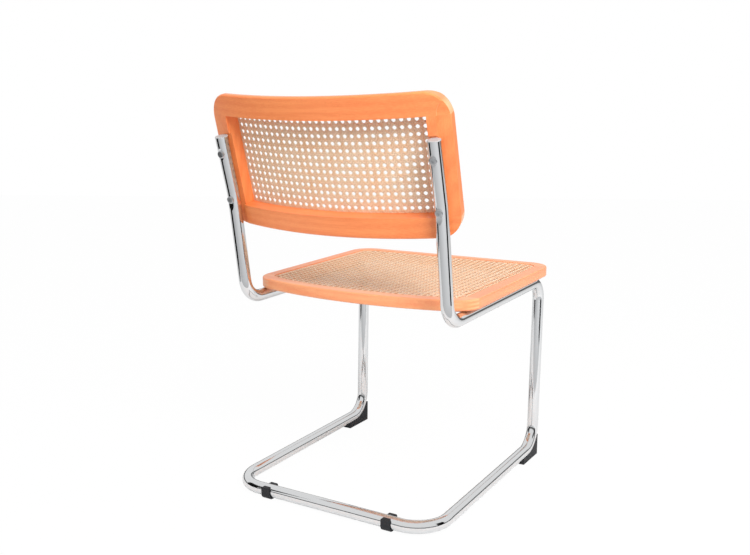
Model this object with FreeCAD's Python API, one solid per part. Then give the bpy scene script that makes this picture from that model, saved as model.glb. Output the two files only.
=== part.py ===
import FreeCAD
import Part
import math
import os

# A cantilever dining chair. A bent steel tube carries a wooden seat frame and a bowed
# wooden back frame, and both frames hold cane webbing.
# Millimetres. +Z is up, the front of the seat faces -Y and the sitter's left is +X.
# The origin is the middle of the bottom of the whole chair.

Vector = FreeCAD.Vector

# Frame tube
tube_diameter = 25.0
tube_wall = 2.0
track_width = 457.0             # between the two side runs of the tube, centre to centre
ground_clearance = 3.0          # floor to the underside of the rear cross run
base_rise = 7.7                 # the base rails rise this much to the corner of the foot bends
base_length = 508.3             # rear cross run to the corner of the front foot bend
seat_rail_height = 393.1        # axis height at the corner of the rear seat bend
seat_rail_length = 462.2        # between the corners of the rear and the front seat bend
seat_rail_rise = 13.0           # how much higher the front corner is than the rear one
rear_setback = 51.5             # the rear seat bend stands this far in front of the cross run
lower_lean_angle = 9.67          # uprights from the seat to the kink, degrees from plumb
kink_height = 610.1             # axis height of the kink just under the back frame
upper_lean_angle = 16.37         # uprights above the kink
upper_length = 117.0            # kink to the open top end of the tube
kink_radius = 120.0
seat_bend_radius = 47.0
front_bend_radius = 41.0
foot_bend_radius = 52.5
corner_bend_radius = 66.0
sleeve_length = 60.0            # inner sleeve that joins the two halves of the cross run
cap_thickness = 1.6
cap_plug_depth = 9.0
plug_clearance = 0.1            # around the sleeve and the plugs of the caps

# Back frame, a bowed slab with one opening
back_bow_radius = 800.0         # rear face, seen from above
back_thickness = 30.0
back_side_overhang = 26.5       # rear edge of each stile beyond the axis of its tube
back_top = 197.5                # above the kink, along the uprights
back_bottom = -65.0             # below the kink, along the uprights
back_top_corner_radius = 50.0
back_bottom_corner_radius = 43.0
back_edge_radius = 4.0
back_top_front_radius = 24.0    # the front of the top rail is rounded for the sitter's back
back_end_angle = 13.0           # the two ends close in towards the front by this angle
opening_top = 155.5
opening_bottom = -24.7
stile_inner_offset = 14.0       # axis of the tube to the opening
tube_inset = 1.5                # how deep the tube lies in the flat recess of the stile
tube_recess_top = 121.5
tube_recess_clearance = 0.1     # behind the tube
tube_recess_side_room = 1.5     # beside the tube
relief_offset = 3.0             # the stile is cut back from here outwards, beyond the tube axis
relief_depth = 2.0
relief_top = 158.0
relief_runout_radius = 26.0
dowel_diameter = 8.0
dowel_depth = 12.0              # in each of the two joined pieces
dowel_spacing = 20.0

# Seat frame, a flat slab with a bowed rear edge
seat_thickness = 22.0
seat_side_overhang = 21.5       # outer edge of each side rail beyond the axis of its tube
seat_rear_inset = 17.8          # middle of the rear edge to the rear seat bend corner
seat_depth = 471.0              # front edge to the middle of the rear edge
seat_bow_radius = 800.0
seat_rear_corner_radius = 55.0
seat_front_corner_radius = 48.0
seat_rail_width = 42.0
seat_opening_corner_radius = 14.0
seat_top_edge_radius = 3.0
seat_bottom_edge_radius = 4.0
seat_frame_gap = 0.2             # between the tube and the flat underside
finger_layers = 6

# Cane webbing and the reed that locks it in a groove
cane_thickness = 1.6
cane_recess = 1.2               # cane lies this much below the face of the wood
spline_width = 4.6
spline_depth = 4.5
cane_opening = 17.5             # side of one opening of the plain grid that stands for the weave
cane_columns = 12
back_cane_rows = 5
seat_cane_rows = 11
seat_cane_margin = 12.5         # cane lies on the wood for this width round the opening
back_cane_margin = 8.0

# Screws
back_screw_upper = 84.8         # above the kink
back_screw_lower = -8.1
screw_diameter = 5.0
screw_clearance = 0.2
head_crown_share = 0.7          # of the height of a screw head is rounded
back_screw_head_diameter = 15.0
back_screw_head_height = 3.2
back_screw_slot_length = 6.0
back_screw_slot_width = 1.3
back_screw_slot_depth = 1.5
back_screw_bite = 20.0
back_screw_head_gap = 0.1       # head to the land of its dimple
dimple_depth = 1.2
dimple_radius = 60.0
seat_screw_positions = (-75.0, -385.0)   # along the seat rail from the rear seat bend corner
seat_screw_head_diameter = 8.0
seat_screw_head_height = 3.0
seat_screw_entry_clearance = 0.5
seat_screw_bite = 14.0

# Feet
foot_width = 20.8
foot_front_overhang = 9.2       # front face beyond the axis of the leg
foot_length = 84.0
foot_height = 47.0
foot_peg_diameter = 6.0
foot_peg_height = 5.0
foot_peg_offset = 65.5          # front face of the foot to the axis of its peg
foot_edge_radius = 1.0
clip_offset = 139.0             # each clip from the middle of the cross run
clip_width = 19.0
clip_wall = 3.0
clip_rise = 10.5                # arms end this far above the axis of the cross run
clip_arm_radius = 3.0
clip_floor_radius = 12.0

# Values that follow from the sizes above
tube_radius = tube_diameter / 2
bore_radius = tube_radius - tube_wall
plug_radius = bore_radius - plug_clearance
half_track = track_width / 2
back_half_width = half_track + back_side_overhang
opening_half_width = half_track - stile_inner_offset
relief_start = half_track + relief_offset
seat_half_width = half_track + seat_side_overhang
base_axis_height = ground_clearance + tube_radius
front_axis_height = base_axis_height + base_rise
foot_front = base_length + foot_front_overhang
lean_change = math.radians(upper_lean_angle - lower_lean_angle)
kink_y = -rear_setback + (kink_height - seat_rail_height) * math.tan(math.radians(lower_lean_angle))
front_corner_y = -rear_setback - seat_rail_length
front_corner_height = seat_rail_height + seat_rail_rise
seat_tilt = math.degrees(math.atan2(seat_rail_rise, seat_rail_length))


def line(start, end):
    return Part.LineSegment(start, end).toShape()


def arc(start, middle, end):
    return Part.Arc(start, middle, end).toShape()


def side_point(side, y, z):
    return Vector(side * half_track, y, z)


def corner_arc(before, corner, after, radius):
    # start, middle and end of the arc that rounds a corner, with its centre and axis
    to_before = (before - corner).normalize()
    to_after = (after - corner).normalize()
    opening = to_before.getAngle(to_after)
    reach = radius / math.tan(opening / 2)
    bisector = (to_before + to_after).normalize()
    centre = corner + bisector * (radius / math.sin(opening / 2))
    return {
        "start": corner + to_before * reach,
        "middle": centre - bisector * radius,
        "end": corner + to_after * reach,
        "centre": centre,
        "axis": to_after.cross(to_before).normalize(),
        "angle": 180.0 - math.degrees(opening),
    }


def tube_run(points, radii, radius):
    # solid rod along straight runs that are joined by bends
    pieces = []
    start = points[0]
    for index, bend_radius in enumerate(radii):
        bend = corner_arc(points[index], points[index + 1], points[index + 2], bend_radius)
        straight = bend["start"] - start
        pieces.append(Part.makeCylinder(radius, straight.Length, start, straight))
        disc = Part.Face(Part.Wire(Part.makeCircle(radius, bend["start"], straight)))
        pieces.append(disc.revolve(bend["centre"], bend["axis"], bend["angle"]))
        start = bend["end"]
    straight = points[-1] - start
    pieces.append(Part.makeCylinder(radius, straight.Length, start, straight))
    return pieces[0].multiFuse(pieces[1:]).removeSplitter()


def frame_points(side):
    upper = Vector(0, math.sin(math.radians(upper_lean_angle)), math.cos(math.radians(upper_lean_angle)))
    kink = side_point(side, kink_y, kink_height)
    return [
        kink + upper * upper_length,
        kink,
        side_point(side, -rear_setback, seat_rail_height),
        side_point(side, front_corner_y, front_corner_height),
        side_point(side, -base_length, front_axis_height),
        side_point(side, 0, base_axis_height),
        Vector(0, 0, base_axis_height),
    ]


frame_radii = [kink_radius, seat_bend_radius, front_bend_radius, foot_bend_radius, corner_bend_radius]


def place_back(shape):
    # from the frame of the back, with z up along the uprights and y to the rear, to the chair
    rotation = FreeCAD.Rotation(Vector(1, 0, 0), -upper_lean_angle)
    moved = shape.copy()
    moved.Placement = FreeCAD.Placement(Vector(0, kink_y, kink_height), rotation)
    return moved


def place_seat(shape):
    # from the frame of the seat, with z = 0 on the axis of the seat rails, to the chair
    rotation = FreeCAD.Rotation(Vector(1, 0, 0), -seat_tilt)
    moved = shape.copy()
    moved.Placement = FreeCAD.Placement(Vector(0, -rear_setback, seat_rail_height), rotation)
    return moved


# Back frame. Its bow axis stands in front of the chair.
bow_sag = back_bow_radius - math.sqrt(back_bow_radius ** 2 - half_track ** 2)
back_rear_at_tube = -tube_radius + tube_inset
bow_axis_y = back_rear_at_tube + bow_sag - back_bow_radius


def bow_shell(outer, inner, low, high):
    # part of a tall ring round the bow axis, between two radii and two heights
    base = Vector(0, bow_axis_y, low)
    ring = Part.makeCylinder(outer, high - low, base)
    return ring.cut(Part.makeCylinder(inner, high - low, base))


def bow_wedge(half_width, low, high):
    # everything between two upright planes that meet in the bow axis
    angle = math.asin(half_width / back_bow_radius)
    reach = back_bow_radius * 1.2
    apex = Vector(0, bow_axis_y, low)
    left = apex + Vector(reach * math.sin(angle), reach * math.cos(angle), 0)
    right = apex + Vector(-reach * math.sin(angle), reach * math.cos(angle), 0)
    face = Part.Face(Part.makePolygon([apex, left, right, apex]))
    return face.extrude(Vector(0, 0, high - low))


def bow_band(outer, inner, half_width, low, high):
    return bow_shell(outer, inner, low, high).common(bow_wedge(half_width, low, high))


def rounded_outline(half_width, low, high, low_radius, high_radius, y):
    # rectangle with four round corners, drawn in an upright plane
    left, right = half_width, -half_width
    low_turn = low_radius * (1 - math.sqrt(0.5))
    high_turn = high_radius * (1 - math.sqrt(0.5))

    def at(x, z):
        return Vector(x, y, z)

    return Part.Wire([
        line(at(left - low_radius, low), at(right + low_radius, low)),
        arc(at(right + low_radius, low), at(right + low_turn, low + low_turn), at(right, low + low_radius)),
        line(at(right, low + low_radius), at(right, high - high_radius)),
        arc(at(right, high - high_radius), at(right + high_turn, high - high_turn),
            at(right + high_radius, high)),
        line(at(right + high_radius, high), at(left - high_radius, high)),
        arc(at(left - high_radius, high), at(left - high_turn, high - high_turn),
            at(left, high - high_radius)),
        line(at(left, high - high_radius), at(left, low + low_radius)),
        arc(at(left, low + low_radius), at(left - low_turn, low + low_turn), at(left - low_radius, low)),
    ])


def bow_plate(half_width, low, high, low_radius, high_radius):
    # block with round corners whose ends close in towards the front
    rear_edge = math.sqrt(back_bow_radius ** 2 - half_width ** 2)
    slope = math.tan(math.radians(back_end_angle))
    wires = [rounded_outline(half_width + (distance - rear_edge) * slope, low, high, low_radius,
                             high_radius, bow_axis_y + distance)
             for distance in (back_bow_radius * 0.85, back_bow_radius * 1.05)]
    return Part.makeLoft(wires, True, True)


def top_front_cutter():
    # what the rounding takes off the front of the top edge, turned about the bow axis
    inner = back_bow_radius - back_thickness
    turn = back_top_front_radius
    shoulder = turn * (1 - math.sqrt(0.5))

    def at(distance, z):
        return Vector(0, bow_axis_y + distance, z)

    section = Part.Wire([
        arc(at(inner, back_top - turn), at(inner + shoulder, back_top - shoulder),
            at(inner + turn, back_top)),
        line(at(inner + turn, back_top), at(inner + turn, back_top + turn)),
        line(at(inner + turn, back_top + turn), at(inner - turn, back_top + turn)),
        line(at(inner - turn, back_top + turn), at(inner - turn, back_top - turn)),
        line(at(inner - turn, back_top - turn), at(inner, back_top - turn)),
    ])
    ring = Part.Face(section).revolve(Vector(0, bow_axis_y, 0), Vector(0, 0, 1), 360)
    return ring


back_slab = bow_shell(back_bow_radius, back_bow_radius - back_thickness, back_bottom - 1, back_top + 1)
back_slab = back_slab.common(bow_plate(back_half_width, back_bottom, back_top,
                                       back_bottom_corner_radius, back_top_corner_radius))


def is_rim(edge):
    # true for the edges that bound the bowed front face or the bowed rear face
    ends = (edge.FirstParameter, edge.LastParameter, (edge.FirstParameter + edge.LastParameter) / 2)
    points = [edge.valueAt(value) for value in ends]
    distances = [math.hypot(point.x, point.y - bow_axis_y) for point in points]
    faces = (back_bow_radius, back_bow_radius - back_thickness)
    return any(all(abs(distance - face) < 0.05 for distance in distances) for face in faces)


back_slab = back_slab.makeFillet(back_edge_radius, [edge for edge in back_slab.Edges if is_rim(edge)])
back_slab = back_slab.cut(top_front_cutter())

# The opening, the step that the cane lies on, and the groove for the reed
front_face_radius = back_bow_radius - back_thickness
cane_front_radius = front_face_radius + cane_recess
cane_rear_radius = cane_front_radius + cane_thickness
spline_rear_radius = cane_rear_radius + spline_depth


def opening_band(outer, inner, outset):
    return bow_band(outer, inner, opening_half_width + outset,
                    opening_bottom - outset, opening_top + outset)


def back_cane_openings():
    # square openings in rows and columns that follow the bow
    half_angle = math.degrees(math.asin(opening_half_width / back_bow_radius))
    column_angle = 2 * half_angle / cane_columns
    row_height = (opening_top - opening_bottom) / back_cane_rows
    openings = []
    for column in range(cane_columns):
        for row in range(back_cane_rows):
            middle = opening_bottom + (row + 0.5) * row_height
            block = Part.makeBox(cane_opening, 3 * cane_thickness, cane_opening,
                                 Vector(-cane_opening / 2, bow_axis_y + cane_front_radius - cane_thickness,
                                        middle - cane_opening / 2))
            block.rotate(Vector(0, bow_axis_y, 0), Vector(0, 0, 1), (column + 0.5) * column_angle - half_angle)
            openings.append(block)
    return openings


groove_outset = back_cane_margin + spline_width
back_slab = back_slab.cut(bow_wedge(opening_half_width, opening_bottom, opening_top))
back_slab = back_slab.cut(opening_band(cane_rear_radius, front_face_radius - 5, groove_outset))
back_groove = opening_band(spline_rear_radius, cane_rear_radius - 1, groove_outset)
back_groove = back_groove.cut(opening_band(back_bow_radius, front_face_radius - 5, back_cane_margin))
back_slab = back_slab.cut(back_groove)

back_cane_panel = opening_band(cane_rear_radius, cane_front_radius, back_cane_margin)
back_cane_panel = back_cane_panel.cut(Part.makeCompound(back_cane_openings()))
back_cane_spline = opening_band(spline_rear_radius, cane_front_radius, groove_outset)
back_cane_spline = back_cane_spline.cut(
    opening_band(back_bow_radius, front_face_radius - 5, back_cane_margin))


# Flat recess for the tube and the relief along the outer band of each stile
def relief_cutter(side):
    low = back_bottom - 5
    outer = back_half_width + 20
    turn = relief_runout_radius
    shoulder = turn * (1 - math.sqrt(0.5))

    def at(x, z):
        return Vector(side * x, -back_bow_radius, z)

    outline = Part.Wire([
        line(at(outer, low), at(relief_start, low)),
        line(at(relief_start, low), at(relief_start, relief_top)),
        arc(at(relief_start, relief_top), at(relief_start + shoulder, relief_top + turn - shoulder),
            at(relief_start + turn, relief_top + turn)),
        line(at(relief_start + turn, relief_top + turn), at(outer, relief_top + turn)),
        line(at(outer, relief_top + turn), at(outer, low)),
    ])
    column = Part.Face(outline).extrude(Vector(0, 2 * back_bow_radius, 0))
    skin = bow_shell(back_bow_radius + 10, back_bow_radius - relief_depth, low, relief_top + turn + 1)
    return column.common(skin)


def tube_recess(side):
    # flat seat for the tube, open at the bottom and towards the opening
    low = back_bottom - 5
    inner = half_track - stile_inner_offset - tube_recess_side_room
    outer = half_track + tube_radius + tube_recess_side_room
    left = inner if side > 0 else -outer
    floor = -tube_radius - tube_recess_clearance
    return Part.makeBox(outer - inner, back_bow_radius, tube_recess_top - low, Vector(left, floor, low))


screw_spots = [(side * half_track, height)
               for side in (-1, 1) for height in (back_screw_upper, back_screw_lower)]
back_screw_tip = back_rear_at_tube - back_screw_bite
for side in (-1, 1):
    back_slab = back_slab.cut(relief_cutter(side)).cut(tube_recess(side))
for x, z in screw_spots:
    back_slab = back_slab.cut(Part.makeCylinder(screw_diameter / 2, back_screw_bite + back_thickness,
                                                Vector(x, back_screw_tip, z), Vector(0, 1, 0)))

# Four dowels join each rail to the two stiles
dowel_ring = back_bow_radius - back_thickness / 2
dowel_middle = (opening_half_width + back_half_width) / 2
dowels = []
for side in (-1, 1):
    for joint in (opening_bottom, opening_top):
        for step in (-0.5, 0.5):
            angle = math.asin((dowel_middle + step * dowel_spacing) / back_bow_radius)
            foot = Vector(side * dowel_ring * math.sin(angle),
                          bow_axis_y + dowel_ring * math.cos(angle), joint - dowel_depth)
            dowels.append(Part.makeCylinder(dowel_diameter / 2, 2 * dowel_depth, foot))
for dowel in dowels:
    back_slab = back_slab.cut(dowel)


def slice_between(shape, low, high, left, right):
    box = Part.makeBox(right - left, 2 * back_bow_radius, high - low, Vector(left, bow_axis_y, low))
    return shape.common(box)


reach = back_half_width + 10
back_top_rail = slice_between(back_slab, opening_top, back_top + 5, -reach, reach)
back_bottom_rail = slice_between(back_slab, back_bottom - 5, opening_bottom, -reach, reach)
back_left_stile = slice_between(back_slab, opening_bottom, opening_top, 0, reach)
back_right_stile = slice_between(back_slab, opening_bottom, opening_top, -reach, 0)


# Screws through the uprights into the stiles, each in a pressed hollow of the tube
def hollow_floor(z):
    # below the kink the tube stands away from the back
    bend_end = kink_radius * math.tan(lean_change / 2)
    stand_off = -z * math.tan(lean_change) if z < -bend_end else 0
    return tube_radius + stand_off - dimple_depth


def back_screw(x, z):
    seat = hollow_floor(z) + back_screw_head_gap
    forward = Vector(0, -1, 0)
    shank = Part.makeCylinder(screw_diameter / 2, seat - back_screw_tip, Vector(x, seat, z), forward)
    head = Part.makeCylinder(back_screw_head_diameter / 2, back_screw_head_height,
                             Vector(x, seat, z), Vector(0, 1, 0))
    crown = [edge for edge in head.Edges
             if edge.Closed and abs(edge.CenterOfMass.y - seat - back_screw_head_height) < 1e-6]
    head = head.makeFillet(back_screw_head_height * head_crown_share, crown)
    slot_floor = seat + back_screw_head_height - back_screw_slot_depth
    for wide, tall in ((back_screw_slot_length, back_screw_slot_width),
                       (back_screw_slot_width, back_screw_slot_length)):
        head = head.cut(Part.makeBox(wide, 2 * back_screw_slot_depth, tall,
                                     Vector(x - wide / 2, slot_floor, z - tall / 2)))
    return head.fuse(shank).removeSplitter()


def dimple_cutters(x, z):
    # pressed hollow, flat land for the screw head, and the hole through both walls
    land = hollow_floor(z)
    rear = Vector(0, 1, 0)
    hollow = Part.makeSphere(dimple_radius, Vector(x, land + dimple_radius, z))
    flat = Part.makeCylinder(back_screw_head_diameter / 2 + screw_clearance, tube_radius,
                             Vector(x, land, z), rear)
    hole = Part.makeCylinder(screw_diameter / 2 + screw_clearance, 2 * tube_diameter,
                             Vector(x, -tube_diameter, z), rear)
    return [place_back(cutter) for cutter in (hollow, flat, hole)]


seat_low = tube_radius + seat_frame_gap


def seat_screw(side, along):
    # its head bears on the inside of the upper wall, and a hole in the lower wall lets it in
    rim = math.sqrt(bore_radius ** 2 - (seat_screw_head_diameter / 2) ** 2)
    base = Vector(side * half_track, along, rim - plug_clearance)
    shank = Part.makeCylinder(screw_diameter / 2, seat_low + seat_screw_bite - base.z, base)
    head = Part.makeCylinder(seat_screw_head_diameter / 2, seat_screw_head_height, base, Vector(0, 0, -1))
    crown = [edge for edge in head.Edges
             if edge.Closed and abs(edge.CenterOfMass.z - base.z + seat_screw_head_height) < 1e-6]
    head = head.makeFillet(seat_screw_head_height * head_crown_share, crown)
    return head.fuse(shank).removeSplitter()


def seat_screw_holes(side, along):
    centre = Vector(side * half_track, along, 0)
    shank_hole = Part.makeCylinder(screw_diameter / 2 + screw_clearance, tube_diameter, centre)
    entry_hole = Part.makeCylinder(seat_screw_head_diameter / 2 + seat_screw_entry_clearance, tube_diameter,
                                   centre, Vector(0, 0, -1))
    return [place_seat(hole) for hole in (shank_hole, entry_hole)]


# Frame tube in two halves that meet on an inner sleeve in the rear cross run
def foot_peg(side, radius):
    middle = -foot_front + foot_peg_offset
    underside = ground_clearance + base_rise * -middle / base_length
    return Part.makeCylinder(radius, underside / 2 + foot_peg_height,
                             Vector(side * half_track, middle, underside / 2))


def frame_half(side):
    points = frame_points(side)
    tube = tube_run(points, frame_radii, tube_radius).cut(tube_run(points, frame_radii, bore_radius))
    for x, z in screw_spots:
        if x * side > 0:
            for cutter in dimple_cutters(x, z):
                tube = tube.cut(cutter)
    for along in seat_screw_positions:
        for hole in seat_screw_holes(side, along):
            tube = tube.cut(hole)
    return tube.cut(foot_peg(side, foot_peg_diameter / 2 + screw_clearance))


def tube_cap(side):
    points = frame_points(side)
    upward = points[0] - points[1]
    disc = Part.makeCylinder(tube_radius, cap_thickness, points[0], upward)
    rim = [edge for edge in disc.Edges
           if edge.Closed and (edge.CenterOfMass - points[0]).Length > cap_thickness / 2]
    disc = disc.makeFillet(cap_thickness * 0.6, rim)
    plug = Part.makeCylinder(plug_radius, cap_plug_depth, points[0], upward * -1)
    return disc.fuse(plug).removeSplitter()


frame_joint_sleeve = Part.makeCylinder(plug_radius, sleeve_length,
                                       Vector(-sleeve_length / 2, 0, base_axis_height), Vector(1, 0, 0))
frame_joint_sleeve = frame_joint_sleeve.cut(
    Part.makeCylinder(plug_radius - tube_wall, sleeve_length,
                      Vector(-sleeve_length / 2, 0, base_axis_height), Vector(1, 0, 0)))


# Seat frame. An inset of 0 is the outer edge of the wood.
def seat_plate(inset, low, high, rear_radius, front_radius):
    half = seat_half_width - inset
    rear = -seat_rear_inset
    bow_middle = rear - seat_bow_radius
    bow = seat_bow_radius - inset
    side_y = bow_middle + math.sqrt(bow ** 2 - half ** 2)
    front = rear - seat_depth + inset
    outline = Part.Wire([
        arc(Vector(half, side_y, low), Vector(0, rear - inset, low), Vector(-half, side_y, low)),
        line(Vector(-half, side_y, low), Vector(-half, front, low)),
        line(Vector(-half, front, low), Vector(half, front, low)),
        line(Vector(half, front, low), Vector(half, side_y, low)),
    ])
    plate = Part.Face(outline).extrude(Vector(0, 0, high - low))
    middle = (front + side_y) / 2
    corners = [edge for edge in plate.Edges if is_upright(edge)]
    rear_corners = [edge for edge in corners if edge.CenterOfMass.y > middle]
    plate = plate.makeFillet(rear_radius, rear_corners)
    front_corners = [edge for edge in plate.Edges if is_upright(edge)
                     and abs(edge.CenterOfMass.y - front) < 1e-6]
    return plate.makeFillet(front_radius, front_corners)


def is_upright(edge):
    ends = [vertex.Point for vertex in edge.Vertexes]
    if len(ends) < 2:
        return False
    return math.hypot(ends[0].x - ends[1].x, ends[0].y - ends[1].y) < 1e-6


def at_height(shape, height):
    return [edge for edge in shape.Edges
            if all(abs(vertex.Point.z - height) < 1e-6 for vertex in edge.Vertexes)]


inner_half = seat_half_width - seat_rail_width
front_inner = -seat_rear_inset - seat_depth + seat_rail_width


def inner_plate(outset, low, high):
    # plate that is larger than the seat opening by the outset
    radius = seat_opening_corner_radius + outset
    return seat_plate(seat_rail_width - outset, low, high, radius, radius)


def seat_cane_openings():
    # square openings in straight columns, with rows that close up towards the bowed rear edge
    column_width = 2 * inner_half / cane_columns
    inner_bow = seat_bow_radius - seat_rail_width
    openings = []
    for column in range(cane_columns):
        x = -inner_half + (column + 0.5) * column_width
        rear = -seat_rear_inset - seat_bow_radius + math.sqrt(inner_bow ** 2 - x ** 2)
        row_depth = (rear - front_inner) / seat_cane_rows
        for row in range(seat_cane_rows):
            y = front_inner + (row + 0.5) * row_depth
            openings.append(Part.makeBox(cane_opening, cane_opening, 3 * cane_thickness,
                                         Vector(x - cane_opening / 2, y - cane_opening / 2,
                                                seat_cane_low - cane_thickness)))
    return openings


seat_high = seat_low + seat_thickness
seat_slab = seat_plate(0, seat_low, seat_high, seat_rear_corner_radius, seat_front_corner_radius)
seat_slab = seat_slab.makeFillet(seat_top_edge_radius, at_height(seat_slab, seat_high))
seat_slab = seat_slab.makeFillet(seat_bottom_edge_radius, at_height(seat_slab, seat_low))

seat_cane_high = seat_high - cane_recess
seat_cane_low = seat_cane_high - cane_thickness
seat_spline_low = seat_cane_low - spline_depth
seat_groove_outset = seat_cane_margin + spline_width
seat_slab = seat_slab.cut(inner_plate(0, seat_low - 1, seat_high + 1))
seat_slab = seat_slab.cut(inner_plate(seat_groove_outset, seat_cane_low, seat_high + 1))
seat_cane_panel = inner_plate(seat_cane_margin, seat_cane_low, seat_cane_high)
seat_cane_panel = seat_cane_panel.cut(Part.makeCompound(seat_cane_openings()))
seat_cane_spline = inner_plate(seat_groove_outset, seat_spline_low, seat_cane_high)
seat_cane_spline = seat_cane_spline.cut(inner_plate(seat_cane_margin, seat_spline_low - 1, seat_high))
seat_slab = seat_slab.cut(seat_cane_spline)
seat_screws = [seat_screw(side, along) for side in (-1, 1) for along in seat_screw_positions]
for side in (-1, 1):
    for along in seat_screw_positions:
        pilot = Part.makeCylinder(screw_diameter / 2, seat_screw_bite,
                                  Vector(side * half_track, along, seat_low))
        seat_slab = seat_slab.cut(pilot)

# Finger joints. The layers of each corner belong to the side rail and the cross rail by turns.
rear_inner = (-seat_rear_inset - seat_bow_radius
              + math.sqrt((seat_bow_radius - seat_rail_width) ** 2 - inner_half ** 2))
finger_height = seat_thickness / finger_layers
corner_reach = 2.5 * seat_rail_width


def corner_fingers(side, front):
    width = 2 * seat_rail_width
    near = front_inner - corner_reach if front else rear_inner
    left = inner_half if side > 0 else -inner_half - width
    return [Part.makeBox(width, corner_reach, finger_height,
                         Vector(left, near, seat_low + layer * finger_height))
            for layer in range(1, finger_layers, 2)]


def cross_rail(front):
    near = front_inner - corner_reach if front else rear_inner
    bar = Part.makeBox(2 * inner_half, corner_reach, seat_thickness, Vector(-inner_half, near, seat_low))
    blank = bar.multiFuse(corner_fingers(-1, front) + corner_fingers(1, front))
    return seat_slab.common(blank)


def side_rail(side):
    left = inner_half if side > 0 else -inner_half - corner_reach
    bar = Part.makeBox(corner_reach, 2 * seat_depth, seat_thickness,
                       Vector(left, -seat_rear_inset - 1.5 * seat_depth, seat_low))
    for front in (True, False):
        for finger in corner_fingers(side, front):
            bar = bar.cut(finger)
    return seat_slab.common(bar)


# Moulded feet under the front bends, shaped to the underside of the tube
def front_foot(side):
    points = frame_points(side)
    bend = corner_arc(points[3], points[4], points[5], foot_bend_radius)
    bend_end = bend["end"]
    bend_middle = bend["middle"]
    bend_start = bend["start"]
    left = side * half_track - foot_width / 2
    front = -foot_front
    rear = front + foot_length

    def at(y, z):
        return Vector(left, y, z)

    outline = Part.Wire([
        line(at(front, 0), at(rear, 0)),
        line(at(rear, 0), at(rear, front_axis_height)),
        line(at(rear, front_axis_height), at(bend_end.y, bend_end.z)),
        arc(at(bend_end.y, bend_end.z), at(bend_middle.y, bend_middle.z), at(bend_start.y, bend_start.z)),
        line(at(bend_start.y, bend_start.z), at(front, bend_start.z)),
        line(at(front, bend_start.z), at(front, 0)),
    ])
    block = Part.Face(outline).extrude(Vector(foot_width, 0, 0))
    standing = [edge for edge in block.Edges if is_upright(edge) and edge.CenterOfMass.z < foot_height]
    block = block.makeFillet(foot_edge_radius, standing)
    block = block.common(Part.makeBox(foot_width, foot_length, foot_height, Vector(left, front, 0)))
    block = block.cut(tube_run(points, frame_radii, tube_radius))
    return block.fuse(foot_peg(side, foot_peg_diameter / 2)).removeSplitter()


# Clips that hug the rear cross run from below
def rear_clip(side):
    half_depth = tube_radius + clip_wall
    top = base_axis_height + clip_rise
    left = side * clip_offset - clip_width / 2
    block = Part.makeBox(clip_width, 2 * half_depth, top, Vector(left, -half_depth, 0))
    arm_corners = [edge for edge in block.Edges
                   if abs(edge.CenterOfMass.z - top) < 1e-6 and abs(edge.CenterOfMass.y) < 1e-6]
    block = block.makeFillet(clip_arm_radius, arm_corners)
    floor_edges = [edge for edge in block.Edges
                   if abs(edge.CenterOfMass.z) < 1e-6
                   and abs(abs(edge.CenterOfMass.y) - half_depth) < 1e-6]
    block = block.makeFillet(clip_floor_radius, floor_edges)
    bar = Part.makeCylinder(tube_radius, clip_width, Vector(left, 0, base_axis_height), Vector(1, 0, 0))
    mouth = 2 * math.sqrt(tube_radius ** 2 - clip_rise ** 2)
    opening = Part.makeBox(clip_width, mouth, tube_radius, Vector(left, -mouth / 2, base_axis_height))
    return block.cut(bar).cut(opening)


parts = {
    "frame_tube_left": frame_half(1),
    "frame_tube_right": frame_half(-1),
    "frame_joint_sleeve": frame_joint_sleeve,
    "left_tube_cap": tube_cap(1),
    "right_tube_cap": tube_cap(-1),
    "back_top_rail": place_back(back_top_rail),
    "back_bottom_rail": place_back(back_bottom_rail),
    "back_left_stile": place_back(back_left_stile),
    "back_right_stile": place_back(back_right_stile),
    "back_dowels": place_back(Part.makeCompound(dowels)),
    "back_cane_panel": place_back(back_cane_panel),
    "back_cane_spline": place_back(back_cane_spline),
    "back_screws": place_back(Part.makeCompound([back_screw(x, z) for x, z in screw_spots])),
    "seat_front_rail": place_seat(cross_rail(True)),
    "seat_rear_rail": place_seat(cross_rail(False)),
    "seat_left_rail": place_seat(side_rail(1)),
    "seat_right_rail": place_seat(side_rail(-1)),
    "seat_cane_panel": place_seat(seat_cane_panel),
    "seat_cane_spline": place_seat(seat_cane_spline),
    "seat_screws": place_seat(Part.makeCompound(seat_screws)),
    "front_left_foot": front_foot(1),
    "front_right_foot": front_foot(-1),
    "rear_left_clip": rear_clip(1),
    "rear_right_clip": rear_clip(-1),
}

# Move the chair so that the middle of its footprint is the origin
extents = [shape.optimalBoundingBox(False, False) for shape in parts.values()]
front_limit = min(box.YMin for box in extents)
rear_limit = max(box.YMax for box in extents)
shift = Vector(0, -(front_limit + rear_limit) / 2, 0)

os.makedirs("parts", exist_ok=True)
for name, shape in parts.items():
    shape.translate(shift)
    shape.exportStep("parts/" + name + ".step")
    print(name, "solids", len(shape.Solids), "volume", round(shape.Volume), "valid", shape.isValid())
print("moved to the rear by", round(shift.y, 3))
print("size", round(2 * max(box.XMax for box in extents), 1), round(rear_limit - front_limit, 1),
      round(max(box.ZMax for box in extents), 1))
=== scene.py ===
# %% [markdown]
# A cantilever dining chair, dressed for the camera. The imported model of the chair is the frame
# that everything is hung on: it already has the bent tube, the wooden frames, the screws and the
# feet at their real size. What is left for Blender is the look of each surface, and the pieces
# that are too fine for a solid model, above all the woven cane.

import bpy
import bmesh
import math
import random
from mathutils import Matrix, Vector


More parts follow.
